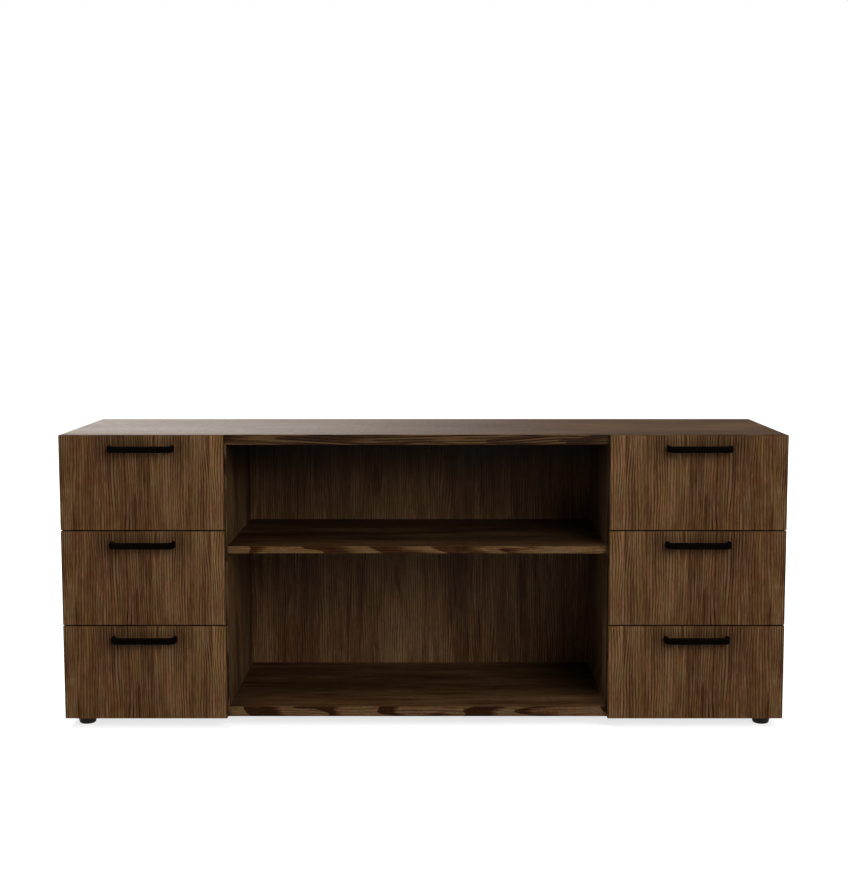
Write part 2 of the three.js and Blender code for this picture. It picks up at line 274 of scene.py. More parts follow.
class Finish:
    """The nodes of one material or world, and short names for the steps that build them."""

    def __init__(self, owner):
        owner.use_nodes = True
        self.owner = owner
        self.nodes, self.links = owner.node_tree.nodes, owner.node_tree.links
        self.nodes.clear()

    def node(self, kind, values=None, **settings):
        """A shader node with its settings, and its inputs linked or set."""
        made = self.nodes.new("ShaderNode" + kind)
        for key, value in settings.items():
            setattr(made, key, value)
        for socket, value in (values or {}).items():
            if isinstance(value, bpy.types.NodeSocket):
                self.links.new(value, made.inputs[socket])
            else:
                made.inputs[socket].default_value = value
        return made

    def output(self, kind, values=None, which=0, **settings):
        return self.node(kind, values, **settings).outputs[which]

    def place(self, location=(0.0, 0.0, 0.0), scale=(1.0, 1.0, 1.0)):
        """The piece's own three coordinates, moved and stretched."""
        own = self.output("TexCoord", which="Object")
        return self.split(self.output("Mapping", {"Vector": own, "Location": location, "Scale": scale}))

    def facing(self, axis):
        """How far a face looks along an axis, from -1 to 1."""
        return self.split(self.output("TexCoord", which="Normal"))["xyz".index(axis)]

    def split(self, vector):
        return list(self.node("SeparateXYZ", {0: vector}).outputs)

    def join(self, x, y, z):
        return self.output("CombineXYZ", {0: x, 1: y, 2: z})

    def maths(self, operation, *terms):
        return self.output("Math", dict(enumerate(terms)), operation=operation)

    times = partialmethod(maths, "MULTIPLY")
    plus = partialmethod(maths, "ADD")
    minus = partialmethod(maths, "SUBTRACT")

    def total(self, *terms):
        return reduce(self.plus, terms)

    def wave(self, cycles):
        return self.maths("SINE", self.times(cycles, 2.0 * pi))

    def distance(self, x, y):
        """The root of the sum of two squares."""
        return self.output("VectorMath", {0: self.join(x, y, 0.0)}, "Value", operation="LENGTH")

    def layer(self, name, x, y, z):
        """Noise at three coordinates, each times the layer's rate for it."""
        *rates, detail, roughness = LAYERS[name]
        place = self.output("VectorMath", {0: self.join(x, y, z), 1: rates}, operation="MULTIPLY")
        values = {"Vector": place, "Scale": 1.0, "Detail": detail, "Roughness": roughness}
        return self.output("TexNoise", values)

    def centred(self, name, x, y, z):
        """A layer of noise about nought."""
        return self.plus(self.layer(name, x, y, z), -NOISE_MEAN)

    def step(self, value, low, high, to_low=0.0, to_high=1.0):
        """A smooth step from one value to another between two limits."""
        values = dict(enumerate((value, low, high, to_low, to_high)))
        return self.output("MapRange", values, interpolation_type="SMOOTHSTEP")

    def ramp(self, value, positions, colours):
        made = self.node("ValToRGB", {0: value})
        points = made.color_ramp.elements
        while len(points) < len(positions):
            points.new(1.0)
        for point, position, colour in zip(points, positions, colours):
            point.position, point.color = position, (*colour, 1.0)
        return made.outputs[0]

    def mix(self, share, first, second, how="MIX"):
        first, second = (c if isinstance(c, bpy.types.NodeSocket) else (*c, 1.0) for c in (first, second))
        return self.output("Mix", {0: share, 6: first, 7: second}, 2, data_type="RGBA", blend_type=how)

    def tinted(self, colour, red, green, blue):
        """A colour with each channel multiplied by its own share."""
        return self.mix(1.0, colour, self.join(red, green, blue), "MULTIPLY")

    def dimmed(self, colour, share):
        return self.tinted(colour, share, share, share)

    def relief(self, height, depth, strength):
        return self.output("Bump", {"Height": height, "Distance": depth, "Strength": strength})

    def finished(self, **values):
        """Feeds the main shader. Underscores in names stand for spaces."""
        surface = self.output("BsdfPrincipled", {key.replace("_", " "): v for key, v in values.items()})
        self.node("OutputMaterial", {"Surface": surface})
        return self.owner


def new_finish(name):
    return Finish(bpy.data.materials.new(name))


class Cut(NamedTuple):
    """How a board is cut from its log, and where its pattern lies."""

    axes: str  # across, through and along the grain
    heart: float  # place of the heart line across the board
    depth: float  # distance of the pith from the face
    taper: float  # how fast that distance grows along the board
    shade: float = 1.0  # brightness, against the walnut's colours
    figure: float = 1.0  # strength of the broad bands
    fine: float = 1.0  # strength of the finer marks
    location: tuple = (0.0, 0.0, 0.0)  # how far the pattern is moved
    scale: tuple = (1.0, 1.0, 1.0)  # how far it is pressed together
    repeat: float = 0.0  # length after which it starts again, if any
    arris: float = 0.6  # a face that looks less than this through the board is narrow


class EdgeBand(NamedTuple):
    """The walnut band on a board's narrow faces."""

    shade: float = 0.66  # brightness, against the walnut's colours
    rate: float = 5.5  # dark tongues in a metre
    lean: float = 20.0  # how fast the tongues shift through the board
    reach: float = 2.4  # how far the tongues shift, in tongues
    patches: float = 0.55  # strength of the tongues
    lines: float = 0.25  # strength of the dark lines that sweep along the band
    tone: float = -0.335  # where its tone starts
    warmth: float = 0.0  # share of its blue, and some of its green, that the band lacks


def edge_band(finish, band, run, through):
    """The colour of an edge band. The run along it, pushed to and fro by noise, is counted in stretches that
    each start with a dark tongue and go on pale. The troughs of a sine through the board, its phase swept by
    noise along the run, draw dark lines, and finer noise adds hairs and specks."""
    wood = bpy.context.scene.credenza_walnut
    counted = finish.times(run, band.rate)
    sway = finish.layer("band_sway", counted, 0.0, finish.times(through, band.lean))
    stretch = finish.maths("WRAP", finish.plus(counted, finish.times(sway, band.reach)), 1.0, 0.0)
    tongue = finish.step(finish.layer("band_tongue", counted, run, through), 0.32, 0.68, 0.12, 0.75)
    faded = finish.step(finish.minus(stretch, tongue), -0.28, 0.10)
    sweep = finish.times(finish.layer("band_sweep", run, 0.0, through), SWEEP_SHIFT)
    cycles = finish.plus(finish.times(through, 1.0 / wood.line_pitch), sweep)
    trough = finish.step(finish.wave(cycles), -0.9, 0.2, 1.0, 0.0)
    where = finish.layer("band_lines", run, 0.0, through)
    tone = finish.total(
        finish.times(faded, band.patches),
        finish.times(finish.layer("band_hair", run, 0.0, through), BAND_HAIR),
        finish.times(finish.layer("band_speck", run, 0.0, through), BAND_SPECK),
        finish.times(trough, finish.step(where, 0.32, 0.62, 0.0, -band.lines)),
        band.tone)
    gains = [band.shade * (1.0 - loss * band.warmth) for loss in WARMTH_LOSS]
    shades = [np.multiply(gains, colour) for colour in (wood.dark, wood.body, wood.pale)]
    return finish.ramp(tone, BAND_STOPS, shades)


def left_by_pull_shadow(finish, across, along, middle, height, half_bar):
    """The share of colour left by a painted shadow round a pull, by the distance from its bar."""
    beside = finish.plus(finish.maths("ABSOLUTE", finish.plus(across, -middle)), -half_bar)
    away = finish.distance(finish.maths("MAXIMUM", beside, 0.0), finish.plus(along, -height))
    return finish.step(away, 0.0, 0.065, 0.58, 1.0)


def left_by_painted_shade(finish, height, facing, low, high, left, way):
    """The share of colour left by painted shade under the top, which deepens with height, on the face that
    looks its way.
    """
    on_face = finish.step(finish.times(facing, way), -0.1, 0.1)
    lost = finish.step(height, low, high, 0.0, 1.0 - left)
    return finish.minus(1.0, finish.times(lost, on_face))


def walnut(name, cut, gloss, band=EdgeBand(), pull=None, painted_shade=None):
    """Walnut sliced from a log. The ring at a point is the root of the square of its distance from the heart
    line, across the grain, plus the square of its distance from the pith, which grows along the board by the
    taper. So rings draw straight lines, and arches at the heart line. Noise along the ring gives bands and
    dark lines, and noise across the grain gives patches, streaks, hairs and pores. The troughs of a sine
    across the grain, its phase shifted by noise, give even lines. Painted shade darkens the wood round a
    pull and under the top, narrow faces carry an edge band, and more noise tints the whole."""
    wood = bpy.context.scene.credenza_walnut
    finish = new_finish(name)
    places = dict(zip("xyz", finish.place(cut.location, cut.scale)))
    across, through, along = (places[axis] for axis in cut.axes)
    if cut.repeat:
        along = finish.maths("WRAP", along, cut.repeat, 0.0)
    facing = finish.facing(cut.axes[1])

    drift = finish.centred("drift", across, through, along)
    strayed = finish.plus(across, finish.times(drift, 2.0 * wood.wander))
    side = finish.plus(strayed, -cut.heart)
    rise = finish.total(finish.times(along, cut.taper), cut.depth, through)
    ring = finish.distance(side, rise)

    layers = {kind: finish.layer(kind, strayed, through, along) for kind in (*FINE_WEIGHTS, "pores")}
    layers["broad"] = finish.layer("broad", side, through, along)
    layers["bands"] = finish.layer("bands", ring, side, along)
    pore = finish.step(layers["pores"], 0.58, 0.68)
    dark_line = finish.step(finish.layer("dark_lines", ring, side, along), 0.62, 0.72)
    shift = finish.times(finish.layer("line_shift", side, through, along), LINE_SHIFT)
    cycles = finish.plus(finish.times(strayed, 1.0 / wood.line_pitch), shift)
    trough = finish.step(finish.wave(cycles), -0.9, 0.15, 1.0, 0.0)
    where = finish.layer("line_strength", side, through, along)
    strength = finish.step(where, 0.32, 0.68, FAINT_LINES * cut.fine, STRONG_LINES * cut.fine)
    even_lines = finish.times(finish.minus(LINE_MEAN, trough), strength)

    weights = {kind: cut.figure * weight for kind, weight in FIGURE_WEIGHTS.items()}
    weights.update({kind: cut.fine * weight for kind, weight in FINE_WEIGHTS.items()})
    tone = finish.total(
        *(finish.times(layers[kind], weight) for kind, weight in weights.items()),
        even_lines,
        MIDDLE_TONE - NOISE_MEAN * sum(weights.values()),
        finish.times(dark_line, -DARK_LINES))
    shades = [np.multiply(cut.shade, colour) for colour in (wood.dark, wood.body, wood.pale)]
    colour = finish.ramp(tone, GRAIN_STOPS, shades)
    colour = finish.mix(finish.times(pore, PORE_SHARE), colour, shades[0])
    # painted shadow round the pull
    if pull:
        colour = finish.dimmed(colour, left_by_pull_shadow(finish, across, along, **pull))
    # painted shade under the top
    if painted_shade:
        height = finish.plus(along, -cut.location["xyz".index(cut.axes[2])])
        colour = finish.dimmed(colour, left_by_painted_shade(finish, height, facing, **painted_shade))
    looks_through = finish.maths("ABSOLUTE", facing)
    is_edge = finish.step(looks_through, cut.arris - ARRIS_BLUR, cut.arris + ARRIS_BLUR, 1.0, 0.0)
    colour = finish.mix(is_edge, colour, edge_band(finish, band, finish.plus(along, across), through))
    ruddy = finish.times(finish.centred("ruddy", side, through, along), RUDDY)
    golden = finish.times(finish.centred("golden", along, through, side), GOLDEN)
    red, green, blue = finish.plus(1.0, ruddy), finish.minus(1.0, ruddy), finish.minus(1.0, golden)
    colour = finish.tinted(colour, red, green, blue)

    sheen, mean_roughness = gloss
    roughness = finish.total(
        *(finish.times(layers[kind], weight) for kind, weight in ROUGH_WEIGHTS.items()),
        mean_roughness - NOISE_MEAN * sum(ROUGH_WEIGHTS.values()),
        finish.times(pore, PORE_ROUGHNESS))
    relief = finish.minus(finish.times(layers["streaks"], STREAK_RELIEF), pore)
    normal = finish.relief(relief, depth=0.00015, strength=0.6)
    return finish.finished(Base_Color=colour, Roughness=roughness, Specular_IOR_Level=sheen, Normal=normal)


def birch(name, from_attribute):
    """Birch with a faint figure along the grain. On a wall of a drawer box the third of its own coordinates
    counts through the thickness, and the plies show where a face looks up."""
    boxes = bpy.context.scene.credenza_drawers
    finish = new_finish(name)
    if from_attribute:
        own = finish.output("Attribute", which="Vector", attribute_name="grain")
        along, across, through = finish.split(own)
    else:
        along, across, through = finish.place()
    figure, cloud, fleck = (
        finish.layer(f"birch_{kind}", along, across, through) for kind in ("figure", "cloud", "fleck"))
    tone = finish.plus(finish.times(figure, BIRCH_FIGURE), finish.times(cloud, BIRCH_CLOUD))
    pale = np.minimum(1.0, np.multiply(BIRCH_PALE, boxes.birch))
    colour = finish.ramp(tone, BIRCH_STOPS, (boxes.birch_dark, boxes.birch, pale))
    colour = finish.mix(finish.step(fleck, 0.64, 0.74, 0.0, 0.35), colour, boxes.birch_dark)
    if from_attribute:
        pairs = finish.times(through, boxes.plies / boxes.wall / 2.0)
        dark_ply = finish.step(finish.maths("WRAP", pairs, 1.0, 0.0), 0.45, 0.55)
        on_top = finish.step(finish.facing("z"), 0.35, 0.6)
        share = finish.times(finish.times(dark_ply, on_top), BIRCH_PLY)
        colour = finish.mix(share, colour, boxes.birch_dark)
    roughness = finish.plus(BIRCH_ROUGHNESS, finish.times(figure, ROUGH_FIGURE))
    relief = finish.plus(figure, finish.times(fleck, FLECK_RELIEF))
    normal = finish.relief(relief, depth=0.0001, strength=0.5)
    return finish.finished(Base_Color=colour, Roughness=roughness, Specular_IOR_Level=0.3, Normal=normal)


def coated(name, colour, fine_layer, broad_layer, limits, second, roughness, rough_fine=0.0, rough_broad=0.0,
           depth=0.0001, strength=0.4, sheen=0.5, metallic=0.0):
    """A skin of one colour: a broad layer of noise mixes in a second shade, a fine one makes the relief, and
    both may add to the roughness."""
    finish = new_finish(name)
    place = finish.place()
    fine, broad = finish.layer(fine_layer, *place), finish.layer(broad_layer, *place)
    mixed = finish.mix(finish.step(broad, *limits), colour, np.multiply(second, colour))
    roughness = finish.total(roughness, finish.times(fine, rough_fine), finish.times(broad, rough_broad))
    normal = finish.relief(fine, depth, strength)
    return finish.finished(
        Base_Color=mixed, Metallic=metallic, Roughness=roughness, Specular_IOR_Level=sheen, Normal=normal)


def moulded(name, colour, second, sheen):
    """Moulded plastic or silicone, with a fine grain and a slight change of shade."""
    return coated(name, colour, "plastic_grain", "plastic_shade", limits=(0.3, 0.7), second=second,
                  roughness=0.45, rough_fine=0.2, depth=0.00012, strength=0.5, sheen=sheen)


def dress(node, material):
    """Gives a CAD node its finish, and leaves its mesh alone."""
    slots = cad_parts[node].data.materials
    slots.clear()
    slots.append(material)


def grid_faces(rows, columns, ring_rows=False, ring_columns=True):
    """Four-sided faces between neighbouring rows and columns of a grid, closed on itself where asked."""
    index = np.arange(rows * columns).reshape(rows, columns)
    if ring_rows:
        index = np.vstack([index, index[:1]])
    if ring_columns:
        index = np.hstack([index, index[:, :1]])
    corners = [index[:-1, :-1], index[:-1, 1:], index[1:, 1:], index[1:, :-1]]
    return np.stack(corners, -1).reshape(-1, 4)


def capped(rows, columns):
    """The faces of a tube, ring after ring, with a flat cap at both ends."""
    last = (rows - 1) * columns
    return grid_faces(rows, columns).tolist() + [list(range(columns)), list(range(last, last + columns))]


def joined(parts):
    """Several shapes as one: each shape's faces count on from the points of those before it."""
    starts = np.cumsum([0] + [len(points) for points, _ in parts])
    faces = [np.add(face, start) for start, (_, own) in zip(starts, parts) for face in own]
    return np.concatenate([points for points, _ in parts]), faces


def added(name, data):
    """A new thing in the scene."""
    thing = bpy.data.objects.new(name, data)
    bpy.context.scene.collection.objects.link(thing)
    return thing


def made_piece(name, shape, material, body=None, replaces=()):
    """A mesh piece from its points and faces: turned outward, and smooth but for sharp edges."""
    mesh = bpy.data.meshes.new(name)
    points, faces = shape
    corners = [list(map(int, face)) for face in faces]
    mesh.from_pydata(np.asarray(points).reshape(-1, 3).tolist(), [], corners)
    shell = bmesh.new()
    shell.from_mesh(mesh)
    bmesh.ops.recalc_face_normals(shell, faces=shell.faces)
    shell.to_mesh(mesh)
    shell.free()
    mesh.shade_smooth()
    mesh.set_sharp_from_angle(angle=SMOOTH_ANGLE)
    mesh.materials.append(material)
    piece = added(name, mesh)
    if body:
        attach(piece, body)
    if replaces:
        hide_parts(*replaces)
    return piece


def quarter(steps):
    """Angles of a quarter turn."""
    return np.linspace(0, pi / 2, steps)


def rounded_outline(width, height, radius, steps=6):
    """A rectangle with quarter circles for corners: each corner's angle sweeps a quarter turn round a centre
    that lies one radius in from both sides."""
    angle = quarter(steps)[None, :] + np.arange(4)[:, None] * pi / 2
    sign_x = np.array([1, -1, -1, 1])[:, None]
    sign_y = np.array([1, 1, -1, -1])[:, None]
    x = sign_x * (width / 2 - radius) + radius * np.cos(angle)
    y = sign_y * (height / 2 - radius) + radius * np.sin(angle)
    return x.ravel(), y.ravel()


def circle(axis, segments):
    """Angles round an axis, and the unit vector at each: its cosine one way and its sine square to that."""
    out = Vector(axis).orthogonal().normalized()
    over = Vector(axis).cross(out)
    angle = np.arange(segments) * 2 * pi / segments
    return angle, np.cos(angle)[:, None] * np.array(out) + np.sin(angle)[:, None] * np.array(over)


def turned(profile, centre, axis, segments=64):
    """A profile of radius against height, turned round an axis: at angle a, a point lies its radius out by
    the cosine and sine of a, and its height along the axis. The ends are closed by flat discs."""
    radius, height = np.asarray(profile, float).T
    ring = circle(axis, segments)[1]
    points = np.array(centre) + radius[:, None, None] * ring + height[:, None, None] * np.array(axis)
    return points.reshape(-1, 3), capped(len(radius), segments)


def bent_pull(low, high, pulls, steps=20):
    """A flat-oval section carried along a D path: straight out of the front, through a quarter circle, along
    the bar, through another quarter circle and straight back. On a bend, the path lies the bend radius from
    the bend's centre at the angle turned so far, and the section's width points away from that centre."""
    half_thick = pulls.thick / 2
    half_span = (high.x - low.x) / 2 - half_thick
    bar_y = low.y + half_thick
    turn = quarter(steps)
    bend_x = -half_span + pulls.bend - pulls.bend * np.cos(turn)
    bend_y = bar_y + pulls.bend - pulls.bend * np.sin(turn)
    path_x = np.concatenate([[-half_span], bend_x, -bend_x[::-1], [half_span]])
    path_y = np.concatenate([[high.y], bend_y, bend_y[::-1], [high.y]])
    out_x = np.concatenate([[-1.0], -np.cos(turn), np.cos(turn)[::-1], [1.0]])
    out_y = np.concatenate([[0.0], -np.sin(turn), -np.sin(turn)[::-1], [0.0]])
    deep, tall = rounded_outline(pulls.thick, high.z - low.z, pulls.edge)
    middle_x, middle_z = (low.x + high.x) / 2, (low.z + high.z) / 2
    points = np.stack([
        middle_x + path_x[:, None] + out_x[:, None] * deep,
        path_y[:, None] + out_y[:, None] * deep,
        np.broadcast_to(middle_z + tall, (len(path_x), len(tall))),
    ], -1)
    return points.reshape(-1, 3), capped(*points.shape[:2])


def box_walls(low, high, bottom_low, bottom_high, boxes, steps=5):
    """The walls of a drawer box: one wall's section, with rounded upper edges and the groove for the bottom,
    carried round a rectangle. A point of the section lies its inset in from each side, at its own height.
    Returns points, faces and, for each corner of each face, its place along, up and through the wall."""
    wall, ease = boxes.wall, boxes.easing
    groove = wall - boxes.groove
    groove_low, groove_high = bottom_low.z - boxes.groove_play, bottom_high.z + boxes.groove_play
    turn = quarter(steps)
    outer_in, outer_up = ease - ease * np.cos(turn), high.z - ease + ease * np.sin(turn)
    inset = np.concatenate([[0], outer_in, wall - outer_in[::-1], [wall, groove, groove, wall, wall]])
    ends = [groove_high, groove_high, groove_low, groove_low, low.z]
    height = np.concatenate([[low.z], outer_up, outer_up[::-1], ends])
    x = np.stack([low.x + inset, high.x - inset, high.x - inset, low.x + inset], 1)
    y = np.stack([low.y + inset, low.y + inset, high.y - inset, high.y - inset], 1)
    points = np.stack([x, y, np.broadcast_to(height[:, None], x.shape)], -1).reshape(-1, 3)
    faces = grid_faces(len(inset), 4, ring_rows=True)
    corners = points[faces]
    runs_along_x = np.arange(len(faces))[:, None] % 2 == 0
    along = np.where(runs_along_x, corners[..., 0], corners[..., 1])
    through = np.repeat(inset, 4)[faces]
    grain = np.stack([along, corners[..., 2], through], -1)
    return points, faces, grain.reshape(-1, 3)


def pan_heads(places, axis, diameter, segments=16):
    """Pan heads of screws, one at each place: a low dome turned round the axis, with a socket whose radius
    swells four times round, by the cosine of four times the angle, to make the cross."""
    radius, height, cross = PAN_HEAD.T * [[diameter / 2], [diameter / 2], [1.0]]
    angle, ring = circle(axis, segments)
    swell = 1.0 + cross[:, None] * np.cos(4 * angle)
    head = (radius[:, None] * swell)[..., None] * ring + height[:, None, None] * np.array(axis)
    faces = capped(len(radius), segments)
    return joined([(place + head.reshape(-1, 3), faces) for place in places])


class CREDENZA_OT_carcass(bpy.types.Operator):
    """Finish the top, bottom, ends, dividers, shelf and back in walnut"""

    bl_idname = "credenza.carcass"
    bl_label = "Carcass boards"

    def execute(self, context):
        wood = context.scene.credenza_walnut
        plain = (wood.bay_sheen, wood.front_roughness)
        matte = (wood.shelf_sheen, wood.front_roughness)
        satin = (wood.top_sheen, wood.top_roughness)
        lying = Cut("yzx", heart=0.04, depth=-0.40, taper=0.02, figure=1.6)
        upright = Cut("yxz", heart=0.03, depth=0.12, taper=0.07, shade=0.70, location=(0.0, 0.0, 1.0))
        divider = upright._replace(figure=2.2, fine=1.6)
        # Painted shade under the top, darkening the upper part of the dividers' inner faces and of the back
        shade_under_top = dict(low=TOP_UNDERSIDE - 0.16, high=TOP_UNDERSIDE, left=0.2, way=1.0)
        end = walnut("walnut_end", upright, plain, EdgeBand(0.62))
        finishes = {
            "top_panel": walnut(
                "walnut_top",
                lying._replace(heart=0.06, depth=-0.62, shade=0.64, figure=1.8, scale=(1.0, 1.3, 1.0)),
                satin,
                EdgeBand(shade=0.40, rate=3.5, lean=45.0, reach=3.0, patches=0.42, lines=0.90, tone=-0.10,
                         warmth=0.25)),
            # The shelf's and the bottom's low shades are partly the boards' own tone and partly painted
            # shade that darkens the bay
            "centre_shelf": walnut(
                "walnut_shelf", lying._replace(shade=0.38, location=(3.0, 0.0, 0.0)), matte,
                EdgeBand(0.72, patches=0.47, tone=-0.24, warmth=0.1)),
            "bottom_panel": walnut(
                "walnut_floor", lying._replace(depth=-0.05, shade=0.52, location=(7.0, 0.0, 0.0)), matte),
            "left_end_panel": end,
            "right_end_panel": end,
            # Both dividers take painted shade under the top
            "left_divider": walnut(
                "walnut_left_divider", divider, plain, EdgeBand(0.62), painted_shade=shade_under_top),
            # The right divider is a darker copy of the left one, with a darker edge band: painted shade of
            # that side of the bay
            "right_divider": walnut(
                "walnut_right_divider", divider._replace(shade=0.50), plain, EdgeBand(0.22),
                painted_shade=dict(shade_under_top, left=0.3, way=-1.0)),
            # The back takes painted shade under the top, on its front face
            "back_panel": walnut(
                "walnut_back",
                Cut("xyz", heart=-0.1, depth=-0.2, taper=0.06, shade=1.02, figure=1.5, fine=0.75,
                    location=(0.0, 0.0, 0.3)),
                plain,
                painted_shade=dict(low=TOP_UNDERSIDE - 0.1625, high=TOP_UNDERSIDE - 0.0275, left=0.12, way=-1.0)),
        }
        for node, finish in finishes.items():
            dress(node, finish)
        return {"FINISHED"}


class CREDENZA_OT_fronts(bpy.types.Operator):
    """Finish the drawer fronts, each with the same arches, and the banks as mirror images"""

    bl_idname = "credenza.fronts"
    bl_label = "Drawer fronts"

    def execute(self, context):
        wood = context.scene.credenza_walnut
        gloss = (wood.front_sheen, wood.front_roughness)
        left_low, left_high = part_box("left_bottom_front")
        width = left_high.x - left_low.x
        # The left bank's higher shade is painted light, making up for the lamps lighting the left fronts
        # less
        for bank, way, shade in (("left", 1.0, 1.07), ("right", -1.0, 1.02)):
            low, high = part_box(f"{bank}_bottom_front")
            pull_low, pull_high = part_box(f"{bank}_bottom_pull")
            share = width / (high.x - low.x)
            outer_edge = low.x if way > 0 else high.x
            cut = Cut("xyz", heart=0.205, depth=0.229, taper=0.05, shade=shade, figure=1.12, fine=0.95,
                      location=(-way * share * outer_edge, 0.0, -low.z), scale=(way * share, 1.0, 1.0),
                      repeat=FRONT_PITCH, arris=0.8)
            # The pull's place, where a painted shadow darkens the front round it
            pull = dict(middle=width / 2, height=(pull_low.z + pull_high.z) / 2 - low.z,
                        half_bar=share * (pull_high.x - pull_low.x) / 2)
            # The edge band's low shade, which the arris of 0.8 lays on each front's eased edges, is painted
            # shade of the gaps round the fronts
            finish = walnut(f"walnut_{bank}_fronts", cut, gloss, EdgeBand(0.25), pull)
            for tier in TIERS:
                dress(f"{bank}_{tier}_front", finish)
        return {"FINISHED"}


class CREDENZA_OT_boxes(bpy.types.Operator):
    """Make the birch drawer boxes and finish their bottoms"""

    bl_idname = "credenza.boxes"
    bl_label = "Drawer boxes"

    def execute(self, context):
        boxes = context.scene.credenza_drawers
        walls, bottoms = birch("birch_walls", True), birch("birch_bottoms", False)
        for drawer in DRAWERS:
            shell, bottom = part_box(f"{drawer}_box"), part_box(f"{drawer}_box_bottom")
            points, faces, grain = box_walls(*shell, *bottom, boxes)
            piece = made_piece(f"{drawer}_birch_box", (points, faces), walls,
                               f"{drawer}_drawer", [f"{drawer}_box"])
            layer = piece.data.attributes.new("grain", "FLOAT_VECTOR", "CORNER")
            order = self.corner_order(piece.data, faces)
            layer.data.foreach_set("vector", grain[order].astype(np.float32).ravel())
            dress(f"{drawer}_box_bottom", bottoms)
        return {"FINISHED"}

    def corner_order(self, mesh, faces):
        """For each corner of the mesh, which one it was before the faces were turned outward: its point's
        place in the same face, after four corners for each face before."""
        found = np.empty(faces.size, np.int32)
        mesh.loops.foreach_get("vertex_index", found)
        place = (found.reshape(-1, 4, 1) == faces[:, None, :]).argmax(-1)
        return (place + 4 * np.arange(len(faces))[:, None]).ravel()


class CREDENZA_OT_runners(bpy.types.Operator):
    """Finish the runner rails and add the screws that hold them and the fronts"""

    bl_idname = "credenza.runners"
    bl_label = "Runners and screws"

    def execute(self, context):
        boxes = context.scene.credenza_drawers
        plated = coated("zinc_plate", boxes.zinc, "zinc_drawn", "zinc_cloud", limits=(0.3, 0.7),
                        second=(0.80, 0.82, 0.86), roughness=0.22, rough_fine=0.14, rough_broad=0.12,
                        depth=0.00004, metallic=1.0)
        for drawer in DRAWERS:
            for side in SIDES:
                for member, body in (("cabinet", "carcass"), ("drawer", f"{drawer}_drawer")):
                    rail = f"{drawer}_{side}_{member}_rail"
                    dress(rail, plated)
                    way = 1.0 if (side == "left") == (member == "cabinet") else -1.0
                    screws = self.rail_screws(rail, way, boxes)
                    made_piece(f"{rail}_screws", screws, plated, body)
            screws = self.front_screws(drawer, boxes)
            made_piece(f"{drawer}_front_screws", screws, plated, f"{drawer}_drawer")
        return {"FINISHED"}

    def rail_screws(self, rail, way, boxes):
        """Three pan heads that bear on the inner face of a rail's web, over the middles of its slots."""
        low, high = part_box(rail)
        along = low.y + RAIL_SCREWS * (high.y - low.y)
        web = np.full_like(along, (low.x if way > 0 else high.x) + way * boxes.steel)
        places = np.stack([web, along, np.full_like(along, (low.z + high.z) / 2)], -1)
        return pan_heads(places, (way, 0.0, 0.0), boxes.screw)

    def front_screws(self, drawer, boxes):
        """Four pan heads on the inner face of a box's front wall, which hold the walnut front to it."""
        low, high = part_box(f"{drawer}_box")
        x, z = np.meshgrid(low.x + ACROSS_SCREWS * (high.x - low.x),
                           low.z + UP_SCREWS * (high.z - low.z))
        places = np.stack([x, np.full_like(x, low.y + boxes.wall), z], -1).reshape(-1, 3)
        return pan_heads(places, (0.0, 1.0, 0.0), boxes.screw)


class CREDENZA_OT_pulls(bpy.types.Operator):
    """Bend the six black pulls"""

    bl_idname = "credenza.pulls"
    bl_label = "Pulls"

    def execute(self, context):
        pulls = context.scene.credenza_pulls
        black = coated("black_powder_coat", pulls.black, "coat_peel", "coat_worn", limits=(0.35, 0.7),
                       second=1.9, roughness=0.42, rough_broad=0.2, sheen=0.008)
        for drawer in DRAWERS:
            pull = bent_pull(*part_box(f"{drawer}_pull"), pulls)
            made_piece(f"{drawer}_bent_pull", pull, black, f"{drawer}_drawer", [f"{drawer}_pull"])
        return {"FINISHED"}


class CREDENZA_OT_bumpers(bpy.types.Operator):
    """Stick two soft bumpers behind the upper corners of each front"""

    bl_idname = "credenza.bumpers"
    bl_label = "Bumpers"

    def execute(self, context):
        pulls = context.scene.credenza_pulls
        soft = moulded("bumper_silicone", pulls.silicone, second=1.2, sheen=0.3)
        for drawer in DRAWERS:
            bank = drawer.split("_")[0]
            uprights = (f"{bank}_end_panel", f"{bank}_divider")
            pads = joined([self.pad(f"{drawer}_front", upright, pulls) for upright in uprights])
            made_piece(f"{drawer}_bumpers", pads, soft, f"{drawer}_drawer")
        return {"FINISHED"}

    def pad(self, front, upright, pulls, air=0.0001, wall=0.4, crown=0.5, steps=7, segments=24):
        """A flat dome turned round a line from front to back, with air left before the upright. Its wall is
        a share of its height, and above that a quarter turn draws its radius in by the crown's share."""
        low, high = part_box(front)
        upright_low, upright_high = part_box(upright)
        half = pulls.bumper / 2
        tall = upright_low.y - high.y - air
        turn = quarter(steps)
        dome = np.stack([half - crown * half * (1 - np.cos(turn)),
                         tall * (wall + (1 - wall) * np.sin(turn))], 1)
        profile = np.vstack([[(half, 0.0)], dome])
        x = (max(low.x, upright_low.x) + min(high.x, upright_high.x)) / 2
        return turned(profile, (x, high.y, high.z - pulls.bumper_drop), (0.0, 1.0, 0.0), segments)


